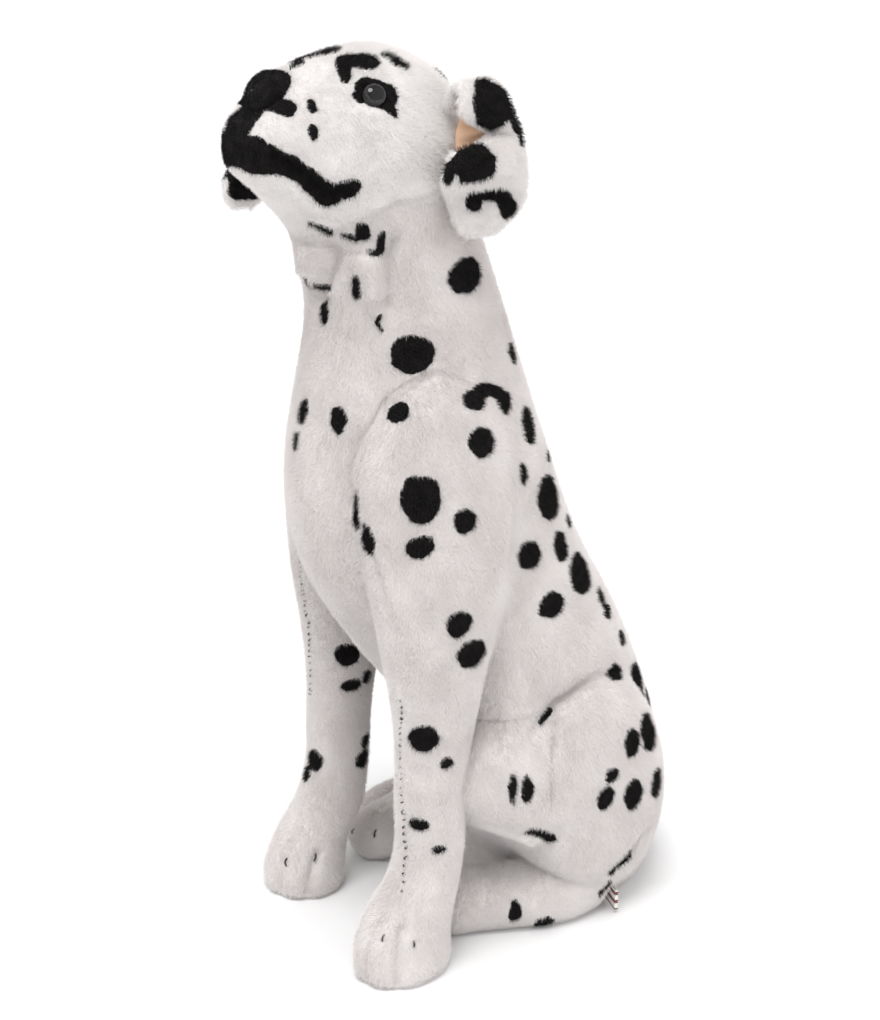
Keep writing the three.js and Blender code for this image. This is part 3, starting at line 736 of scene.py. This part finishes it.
def coat(piece, points, faces, normals, ink, per_mm2, length, comb, dyed=STRANDS, grows=None):
    """Strands over a piece of quads: ink is the dye at their roots, comb the way they lie.

    They root where grows is 1, or all over.
    """
    grows = np.ones(len(points)) if grows is None else grows
    a, b, c, d = (points[faces[:, i]] for i in range(4))
    area = 0.5 * np.linalg.norm(np.cross(c - a, d - b), axis=1) * grows[faces].min(1)
    count = int(area.sum() * per_mm2)
    face = np.searchsorted(np.cumsum(area), rng.random(count) * area.sum())
    face = np.minimum(face, len(faces) - 1)
    u, v = rng.random((2, count, 1))
    weights = ((1 - u) * (1 - v), u * (1 - v), u * v, (1 - u) * v)
    corners = faces[face]
    root = sum(w * points[corners[:, i]] for i, w in enumerate(weights))
    normal = sum(w * normals[corners[:, i]] for i, w in enumerate(weights))
    normal /= np.linalg.norm(normal, axis=1, keepdims=True) + 1e-9
    dye = sum(w[:, 0] * ink[corners[:, i]] for i, w in enumerate(weights)) + rng.normal(0, BLEED, count)
    lie = comb(root) + CURL * swirl(root)
    lie -= normal * np.sum(lie * normal, axis=1, keepdims=True)
    lie /= np.linalg.norm(lie, axis=1, keepdims=True) + 1e-6
    lean = lie + rng.normal(0, STRAY, (count, 3))
    reach = (length(root) * rng.uniform(0.7, 1.15, count))[:, None]
    keep = root[:, 2] > SOLE
    steps = np.array((0, 0.35, 0.7, 1.0))
    strands = [root + reach * (normal * STAND * s + lean * (1 - STAND * 0.6) * s**1.7) for s in steps]
    strands = np.stack(strands, 1)[keep]
    strands[:, :, 2] = np.maximum(strands[:, :, 2], 0.3)
    curves = bpy.data.hair_curves.new(piece.name + "_pile")
    curves.add_curves([4] * len(strands))
    curves.attributes["position"].data.foreach_set("vector", placed(strands).astype(np.float32).ravel())
    width = curves.attributes.get("radius") or curves.attributes.new("radius", "FLOAT", "POINT")
    taper = np.tile(np.array((1.0, 0.9, 0.65, 0.25)) * THICK / 1000, len(strands))
    width.data.foreach_set("value", taper.astype(np.float32))
    tint = curves.attributes.new("ink", "FLOAT", "CURVE")
    tint.data.foreach_set("value", dye[keep].astype(np.float32))
    curves.materials.append(dyed)
    linked(piece.name + "_pile", curves).parent = piece


SWIRLS = np.array([(0.09, 0.05, 0.07), (0.06, -0.08, 0.05), (-0.05, 0.07, 0.08)])


def swirl(p):
    """Slow, uneven turning of the pile."""
    return np.stack([np.sin(p @ run) for run in SWIRLS], 1)


def downward(p):
    return np.tile((0.0, 0.0, -1.0), (len(p), 1))


def over_head(p):
    """Back from the nose over the head, and down its sides."""
    back = np.tile(-FORWARD, (len(p), 1))
    beside, below = smoothstep(np.abs(p[:, 0]), 10, 60), smoothstep(-(p - HEAD_AT) @ UPWARD, 20, 60)
    back[:, 2] -= 0.5 * beside + 1.6 * below
    return back


def pile_length(p):
    """About 3 mm, shorter on the face, round the eyes and on the feet."""
    q = p - HEAD_AT
    forward = q @ FORWARD
    on_head = smoothstep(p[:, 2], 560, 600)
    face = 3.4 - 1.2 * smoothstep(forward, 40, 95)
    eye = np.minimum(*(np.linalg.norm(p - head_point(s * 45, 45, 8), axis=1) for s in (-1, 1)))
    face *= 0.5 + 0.5 * smoothstep(eye, 9, 20)
    body = 2.7 + 0.5 * smoothstep(p[:, 2], 20, 120)
    return body + (face - body) * on_head


# ---- stuffed skins


def dress(skin, body, finish, *covers):
    """The skin moves with a body and stands for its CAD covers."""
    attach(skin, body)
    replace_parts(skin, *covers)


grid, each, whole = sampled()
MARKED = [(*onto_skin(np.stack((a, b))), ra, rb) for a, b, ra, rb in marks()]
SPOTTED = np.array(SPOTS, float)
SPOTTED[:, :3] = onto_skin(SPOTTED[:, :3])


def stuffed(name):
    """One part's closed skin, cut from the whole form at its seams, with its coat."""
    on_head = name == "head"
    others = np.min([each[n] for n in each if n != name], axis=0)
    seam = (each[name] - others) * 0.5
    field = np.maximum(whole, seam - 0.8)
    if on_head:
        field = np.maximum(field, 0.6 - nose(grid).astype(np.float32))
    own = np.argwhere(field < 0)
    low, high = np.maximum(own.min(0) - 2, 0), own.max(0) + 3
    block = field[tuple(slice(a, b) for a, b in zip(low, high))]
    points, faces = surface(block, LOW + low * STEP)
    points = smoothed(points, faces, 3, smoothstep(-read(seam, points), 0.5, 4))
    normals = outward(whole, points)
    ink = ink_at(points, MARKED, SPOTTED)
    points = relief(points, normals)
    points[:, 2] = np.maximum(points[:, 2], 0.2)
    part, parted, side = name.replace("_left", "-left").replace("_right", "-right").partition("-")
    end = "_" + side if parted else ""
    skin = mesh_object(f"{part}_plush{end}", points, faces, ink)
    # the head takes the lighter copy of the pile, which is painted light
    paint(skin, LIT_FACE_PLUSH if on_head else PLUSH)
    grows = smoothstep(read(whole, points), -9, -6)
    comb, dyed = (over_head, LIT_FACE_STRANDS) if on_head else (downward, STRANDS)
    coat(skin, points, faces, normals, ink, 1.7, pile_length, comb, dyed, grows)
    dress(skin, "body", "white_plush", f"{part}_cover{end}")


for name in each:
    stuffed(name)


def solid(form, low, high, step, sculpt=None):
    """A closed piece on the zero level of a form, in the box from low to high, with its normals."""
    axes = [np.arange(low[i], high[i] + step, step) for i in range(3)]
    sample = np.stack(np.meshgrid(*axes, indexing="ij"), -1).reshape(-1, 3)
    field = form(sample).reshape([len(a) for a in axes])
    points, faces = surface(field, np.array(low, float), step)
    points = smoothed(points, faces, 3)
    normals = normals_of(points, faces)
    if sculpt:
        points = sculpt(points, normals)
    return points, faces, normals_of(points, faces)


def press(points, normals, strokes):
    """Strokes pressed into, or raised on, a small piece."""
    for h, w, path in strokes:
        d, _ = to_path(points, path)
        points = points + normals * (h * np.exp(-((d / w) ** 2)))[:, None]
    return points


NOSTRILS = [(-3.0, 3.2, [head_point(s * 8, 104, -25), head_point(s * 13, 101, -22)]) for s in (-1, 1)]
NOSE_RIDGE = [(0, 100, -3), (0, 107, -14), (0, 108, -28), (0, 102, -37)]
NOSE_SEAM = (-1.3, 1.4, [head_point(*q) for q in NOSE_RIDGE])
NOSE_AT = head_point(0, 93, -17)


def sculpted_nose(points, normals):
    return press(points, normals, [*NOSTRILS, NOSE_SEAM])


points, faces, normals = solid(lambda p: nose(p.T) - 0.5, NOSE_AT - 26, NOSE_AT + 26, 1.3, sculpted_nose)
ink = np.full(len(points), 6.0)
pad = mesh_object("nose_plush", points, faces, ink)
paint(pad, PLUSH)
coat(pad, points, faces, normals, ink, 1.8, lambda p: np.full(len(p), 1.7), over_head)
dress(pad, "body", "black_plush", "nose_cover")

# ---- tail

# x, y, z and radius
TAIL = [
    (-54, 202, 34, 13), (-70, 210, 30, 17), (-99, 211, 22, 18.5), (-126, 189, 19, 18), (-138, 150, 18, 17),
    (-140, 104, 17, 17), (-138, 58, 17, 16), (-134, 20, 16, 15), (-131, 4, 15, 11),
]
TAIL_MARKS = [
    ((-100, 218, 38), (-110, 212, 38), 6, 7), ((-150, 166, 28), (-152, 156, 24), 6, 6),
    ((-132, 130, 34), (-130, 120, 33), 6, 7), ((-154, 96, 20), (-154, 88, 22), 5, 6),
    ((-136, 62, 33), (-134, 54, 32), 6, 5), ((-150, 26, 20), (-150, 20, 18), 4, 4),
]


def tail_form(p):
    """Distance to a string of balls along the tail, flat on the floor."""
    rows = np.array(TAIL, float)
    run = np.concatenate(([0], np.cumsum(np.linalg.norm(np.diff(rows[:, :3], axis=0), axis=1))))
    _, out = spline(np.column_stack((run, rows)), 4.0)
    best = np.full(len(p), FAR)
    for x, y, z, r in out:
        best = np.minimum(best, np.sqrt(((p - (x, y, z)) ** 2).sum(1)) - r)
    return np.maximum(best, 0.4 - p[:, 2])


def towards_tip(p):
    return np.tile((-0.2, -1.0, -0.1), (len(p), 1))


points, faces, normals = solid(tail_form, (-165, -12, -2), (-36, 246, 56), STEP)
ink = ink_at(points, capsules(TAIL_MARKS))
tail = mesh_object("tail_plush", points, faces, ink)
paint(tail, PLUSH)
coat(tail, points, faces, normals, ink, 1.7, lambda p: np.full(len(p), 3.0), towards_tip)
dress(tail, "tail", "white_plush", "tail_cover")

# ---- ears

# Down each ear from its root: front edge and back edge, and how far the middle bulges out.
EAR_LEFT = [
    ((55, -30, 650), (55, 2, 650), 0), ((60, -28, 664), (60, -2, 664), 0),
    ((70, -28, 668), (70, 0, 669), 1), ((75, -30, 660), (77, 6, 661), 2), ((76, -29, 650), (80, 9, 650), 3),
    ((75, -17, 643), (81, 12, 642), 3), ((77, -6, 635), (82, 15, 634), 2),
    ((84, -22, 628), (83, 16, 627), 3), ((86, -43, 624), (84, 18, 619), 6),
    ((86, -47, 615), (83, 20, 610), 8), ((80, -46, 606), (81, 22, 602), 5),
    ((76, -42, 598), (79, 23, 594), 1), ((75, -37, 588), (78, 22, 586), 1),
    ((75, -34, 578), (77, 14, 577), 1), ((75, -29, 570), (76, 2, 569), 0),
    ((75, -21, 566), (75, -9, 566), 0),
]
LINING_LEFT = [
    ((57, -26, 652), (57, -2, 652), 0), ((61, -27, 661), (61, -4, 661), 0),
    ((67, -22, 654), (67, 2, 655), 0), ((68, -24, 646), (71, 6, 646), 1), ((67, -27, 637), (73, 9, 637), 2),
    ((68, -28, 628), (74, 12, 628), 2), ((73, -29, 618), (76, 14, 618), 1),
    ((74, -30, 606), (75, 16, 606), 0), ((71, -30, 594), (73, 16, 594), 0),
    ((70, -28, 582), (71, 12, 582), 0), ((70, -20, 574), (71, 0, 574), 0),
]
EAR_RIGHT = [
    ((-55, -34, 650), (-55, 6, 650), 0), ((-62, -40, 661), (-62, 4, 661), 0),
    ((-70, -50, 660), (-71, -4, 660), 1), ((-78, -66, 652), (-80, -18, 652), 2),
    ((-83, -80, 641), (-86, -32, 641), 3), ((-86, -93, 631), (-90, -46, 630), 3),
    ((-88, -105, 620), (-92, -60, 618), 3), ((-89, -114, 611), (-94, -72, 607), 3),
    ((-89, -124, 602), (-95, -82, 596), 2), ((-89, -131, 592), (-94, -92, 585), 2),
    ((-89, -132, 583), (-93, -99, 577), 1), ((-89, -128, 575), (-92, -106, 573), 0),
    ((-89, -122, 571), (-90, -112, 571), 0),
]
LINING_RIGHT = [
    ((-57, -30, 652), (-57, 2, 652), 0), ((-61, -36, 658), (-61, 0, 658), 0),
    ((-68, -46, 654), (-69, -8, 654), 1), ((-76, -62, 646), (-78, -22, 646), 1),
    ((-80, -78, 635), (-83, -36, 635), 1), ((-82, -92, 624), (-86, -52, 623), 1),
    ((-83, -102, 615), (-88, -64, 612), 1), ((-84, -106, 608), (-89, -74, 602), 0),
    ((-85, -104, 602), (-89, -84, 596), 0),
]
EAR_MARKS = [
    # crown of the left ear, the fold below it, and the arch near the tip
    ((78, -12, 664), (82, -8, 650), 10, 11), ((79, -18, 658), (81, -16, 646), 6, 6),
    ((81, -12, 644), (82, -9, 636), 6, 3), ((80, 0, 665), (83, 5, 650), 6, 6),
    ((83, 8, 652), (86, 15, 630), 7, 4), ((86, -32, 628), (89, -24, 624), 7, 8),
    ((90, -38, 618), (91, -22, 619), 9, 9), ((90, -34, 610), (92, -20, 614), 7, 6),
    ((86, -46, 616), (82, -46, 602), 4, 4), ((80, -21, 590), (80, -21, 593), 7, 7),
    ((80, -15, 595), (81, -3, 595), 5.5, 5.5), ((81, 1, 592), (80, 6, 583), 6, 7.5),
    # right ear
    ((-90, -128, 602), (-88, -122, 588), 4, 8), ((-88, -124, 584), (-90, -108, 582), 7, 6),
    ((-90, -60, 640), (-92, -66, 630), 9, 9), ((-80, -40, 656), (-84, -34, 650), 8, 7),
    ((-97, -100, 600), (-97, -104, 592), 7, 7),
]
EAR_INK = capsules(EAR_MARKS)
CUPPED = 3  # how far a flap's edges turn in towards the head


def flap(rows, across, down, thickness, side, ripple, waves):
    """A closed, curved flap of some thickness on rows of front edge, back edge and bulge.

    It has across by down points on each face, and waves of the height ripple run down its middle.
    """
    table = np.array([(i, *front, *back, bulge) for i, (front, back, bulge) in enumerate(rows)], float)
    _, smooth = spline(table, (len(rows) - 1) / (down - 1) - 1e-9)
    smooth = smooth[:down]
    u = np.linspace(0, 1, across)[None, :, None]
    sheet = smooth[:, None, 0:3] * (1 - u) + smooth[:, None, 3:6] * u
    u = u[:, :, 0]
    v = np.linspace(0, 1, down)[:, None]
    sheet[:, :, 0] += side * (smooth[:, None, 6] * np.sin(np.pi * u) - CUPPED * (2 * u - 1) ** 4)
    sheet[:, :, 0] += side * ripple * np.sin(waves * v + 5 * u) * (np.sin(np.pi * v) * np.sin(np.pi * u))
    along, over = np.gradient(sheet, axis=0), np.gradient(sheet, axis=1)
    normal = np.cross(over, along)
    normal /= np.linalg.norm(normal, axis=2, keepdims=True) + 1e-9
    normal *= side * np.sign(normal[down // 2, across // 2, 0])
    edge = np.minimum(np.minimum(v, 1 - v) * down, np.minimum(u, 1 - u) * across) / 2.0
    half = thickness / 2 * np.sqrt(np.clip(edge, 0.08, 1))[:, :, None]
    front, hidden = sheet + normal * half, sheet - normal * half
    points = np.concatenate((front.reshape(-1, 3), hidden.reshape(-1, 3)))
    number = np.arange(down * across).reshape(down, across)
    quads = np.stack((number[:-1, :-1], number[1:, :-1], number[1:, 1:], number[:-1, 1:]), -1).reshape(-1, 4)
    rim = np.concatenate((number[0, :], number[1:, -1], number[-1, -2::-1], number[-2:0:-1, 0]))
    after, below = np.roll(rim, -1), down * across
    walls = np.stack((rim, after, after + below, rim + below), 1)
    faces = np.concatenate((quads, quads[:, ::-1] + below, walls))
    middle = down // 2, across // 2
    if np.sum(normals_of(points, quads)[number[middle]] * normal[middle]) < 0:
        faces = faces[:, ::-1]
    return points, np.ascontiguousarray(faces)


def ear(side, word, rows, lining_rows):
    """One ear: its plush flap with pile, and its satin lining."""
    points, faces = flap(rows, 34, 60, 4.6, side, 0.5, 17)
    ink = ink_at(points, EAR_INK)
    # the ears take the lighter copy of the pile, which is painted light
    outer = mesh_object(f"ear_plush_{word}", points, faces, ink)
    paint(outer, LIT_FACE_PLUSH)
    normals = normals_of(points, faces)
    coat(outer, points, faces, normals, ink, 1.9, lambda p: np.full(len(p), 3.2), downward, LIT_FACE_STRANDS)
    dress(outer, f"ear_{word}", "white_plush", f"ear_outer_{word}")
    points, faces = flap(lining_rows, 40, 70, 1.0, side, 1.6, 46)
    lining = mesh_object(f"ear_satin_{word}", points, faces)
    paint(lining, SATIN_PAINTED_SHADE)
    dress(lining, f"ear_{word}", "peach_satin", f"ear_lining_{word}")


ear(1, "left", EAR_LEFT, LINING_LEFT)
ear(-1, "right", EAR_RIGHT, LINING_RIGHT)

# ---- eyes


PUPIL, RIM = (0.002, 0.002, 0.002), (0.004, 0.004, 0.004)
EYE_RADIUS, EYE_RISE = 9, 5.5
POST_RADIUS, POST_END = 2.5, -16
EYE_TURNS = 48


def eye_material():
    """A moulded eye: black pupil, dark grey iris with fine streaks, black rim, under a clear gloss."""
    material, tree, shader = nodes_of("eye_plastic")
    ring = add(tree, "ShaderNodeAttribute", attribute_name="ring").outputs["Fac"]
    place = add(tree, "ShaderNodeTexCoord").outputs["Object"]
    streak = ranged(tree, noise(tree, 700, 4, place), 0.3, 0.7)
    iris = mixed(tree, streak, (0.012, 0.011, 0.011), (0.045, 0.042, 0.042))
    inner = mixed(tree, ranged(tree, ring, 0.60, 0.66), PUPIL, iris)
    coloured(tree, shader, mixed(tree, ranged(tree, ring, 0.80, 0.88), inner, RIM))
    finish(shader, 0.12, specular_ior_level=0.0, coat_weight=0.8, coat_roughness=0.02)
    return material


EYE = eye_material()
for side, word in ((1, "left"), (-1, "right")):
    look = np.array((side * 0.82, 0, 0)) + 0.42 * FORWARD + 0.38 * UPWARD
    look /= np.linalg.norm(look)
    across = np.cross(look, UPWARD)
    across /= np.linalg.norm(across)
    up = np.cross(across, look)
    at = head_point(side * 45, 45, 9)
    # radius and height of the dome, its edge, and the post behind it
    dome = np.linspace(0.02, math.pi / 2, 16)
    profile = [(EYE_RADIUS * math.sin(t), EYE_RISE * math.cos(t)) for t in dome]
    profile += [(EYE_RADIUS + 0.1, -0.8), (EYE_RADIUS - 0.4, -1.5), (POST_RADIUS + 0.7, -1.6)]
    profile += [(POST_RADIUS, -2.2), (POST_RADIUS, POST_END + 0.4)]
    profile += [(POST_RADIUS - 0.6, POST_END), (0.05, POST_END)]
    turns = np.linspace(0, 2 * np.pi, EYE_TURNS, endpoint=False)
    around = [np.cos(t) * across + np.sin(t) * up for t in turns]
    points = np.array([at + r * out + h * look for r, h in profile for out in around])
    rings = [min(r / EYE_RADIUS, 1) if h >= 0 else 1.0 for r, h in profile for _ in turns]
    n = np.arange(len(profile) * EYE_TURNS).reshape(-1, EYE_TURNS)
    m = np.roll(n, -1, axis=1)
    faces = np.stack((n[:-1], n[1:], m[1:], m[:-1]), -1).reshape(-1, 4)
    if np.dot(normals_of(points, faces)[20], look) < 0:
        faces = faces[:, ::-1]
    eye = mesh_object(f"eye_dome_{word}", points, np.ascontiguousarray(faces))
    eye.data.attributes.new("ring", "FLOAT", "POINT").data.foreach_set("value", np.array(rings, np.float32))
    paint(eye, EYE)
    dress(eye, "body", "eye_plastic", f"eye_{word}")

# ---- stitches, label and what is inside

# Short black stitches in the grooves of the toes
STITCHES = {
    "foreleg_toe_stitch_outer_left": [(107, -90, 41), (107, -90, 35)],
    "foreleg_toe_stitch_inner_left": [(93, -108, 45), (93, -110, 39)],
    "foreleg_toe_stitch_outer_right": [(-64, -110, 35), (-62, -111, 29)],
    "foreleg_toe_stitch_inner_right": [(-49, -90, 40), (-48, -92, 35)],
    "hind_toe_stitch_outer_left": [(66, -38, 22), (67, -35, 14)],
    "hind_toe_stitch_inner_left": [(50, -58, 24), (50, -60, 16)],
    "hind_toe_stitch_inner_right": [(-72, -20, 33), (-71, -22, 26)],
    "hind_toe_stitch_outer_right": [(-92, -30, 28), (-92, -32, 21)],
}
# The seams down the fronts of the forelegs, drawn up with dark thread: from, to and over
LEG_SEAMS = {
    "left": [(87, -87, 232), (81, -84, 186), (84, -84, 131), (90, -90, 74)],
    "right": [(-68, -86, 310), (-73, -83, 265), (-76, -77, 219), (-82, -72, 165)],
}


def thread(name, stitches, thick, height):
    """Stitches lying on the skin, each a bow of so many points that rises by height."""
    curve = bpy.data.curves.new(name, "CURVE")
    curve.dimensions = "3D"
    curve.bevel_depth = thick / 2000
    curve.bevel_resolution = 3
    curve.use_fill_caps = True
    for path in stitches:
        bow = np.sin(np.linspace(0, np.pi, len(path)))
        path = onto_skin(path) + outward(whole, path) * (height * (bow - 0.5))[:, None]
        line = curve.splines.new("POLY")
        line.points.add(len(path) - 1)
        for point, q in zip(line.points, path):
            point.co = (*placed(q), 1)
    made = linked(name, curve)
    paint(made, THREAD)
    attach(made, "body")
    return made


for name, ends in STITCHES.items():
    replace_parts(thread(name + "_thread", [np.linspace(*np.array(ends, float), 8)], 1.7, 2.6), name)

for side, ends in LEG_SEAMS.items():
    _, route = spline([(i, *q) for i, q in enumerate(ends)], 0.11)
    stitches = []
    for q in route:
        slant = rng.normal(0, 1.0, 3) + (0, 0, 0.5)
        q = q + rng.normal(0, 0.7, 3)
        stitches.append(np.linspace(q - slant, q + slant, 4))
    thread(f"foreleg_seam_thread_{side}", stitches, 1.3, 4.6)


def tape_material():
    """Woven tape with stripes across it and no lettering."""
    material, tree, shader = nodes_of("label_tape")
    place = add(tree, "ShaderNodeTexCoord").outputs["Object"]
    banding = {"Vector": place, "Scale": 42.0, "Distortion": 0.4}
    stripes = add(tree, "ShaderNodeTexWave", banding, bands_direction="Z").outputs["Fac"]
    weave = noise(tree, 1500, 2, place)
    body = mixed(tree, ranged(tree, stripes, 0.62, 0.68), (0.80, 0.78, 0.74), (0.03, 0.03, 0.035))
    coloured(tree, shader, mixed(tree, ranged(tree, stripes, 0.93, 0.96), body, (0.35, 0.06, 0.05)))
    shader.inputs["Roughness"].default_value = 0.6
    bump(tree, shader, weave, 0.3, 0.0003)
    return material


FINISHES = {"filling": FIBRE, "wire": STEEL, "washer": WASHER, "label": tape_material()}
for name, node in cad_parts.items():
    for word, material in FINISHES.items():
        if word in name:
            paint(node, material)

# ---- light and floor

floor_mesh = bpy.data.meshes.new("floor")
floor_mesh.from_pydata([(-30, -30, 0), (30, -30, 0), (30, 30, 0), (-30, 30, 0)], [], [(0, 1, 2, 3)])
floor = linked("floor", floor_mesh)
paint(floor, plain("pale_floor", (0.90, 0.90, 0.90), (0.89, 0.89, 0.89), 2, 0.9, 0.02))

world = bpy.data.worlds.new("studio")
bpy.context.scene.world = world
world.use_nodes = True
world.node_tree.nodes["Background"].inputs["Color"].default_value = (1.0, 1.0, 1.0, 1)
world.node_tree.nodes["Background"].inputs["Strength"].default_value = 0.8


def sun(name, energy, azimuth, elevation, spread):
    light = bpy.data.lights.new(name, "SUN")
    light.energy = energy
    light.angle = math.radians(spread)
    a, e = math.radians(azimuth), math.radians(elevation)
    back = Vector((math.sin(a) * math.cos(e), -math.cos(a) * math.cos(e), math.sin(e)))
    linked(name, light).rotation_euler = (-back).to_track_quat("-Z", "Y").to_euler()


sun("key", 1.65, 40, 70, 26)
sun("fill", 0.35, 110, 35, 80)
bpy.context.scene.view_settings.view_transform = "Standard"
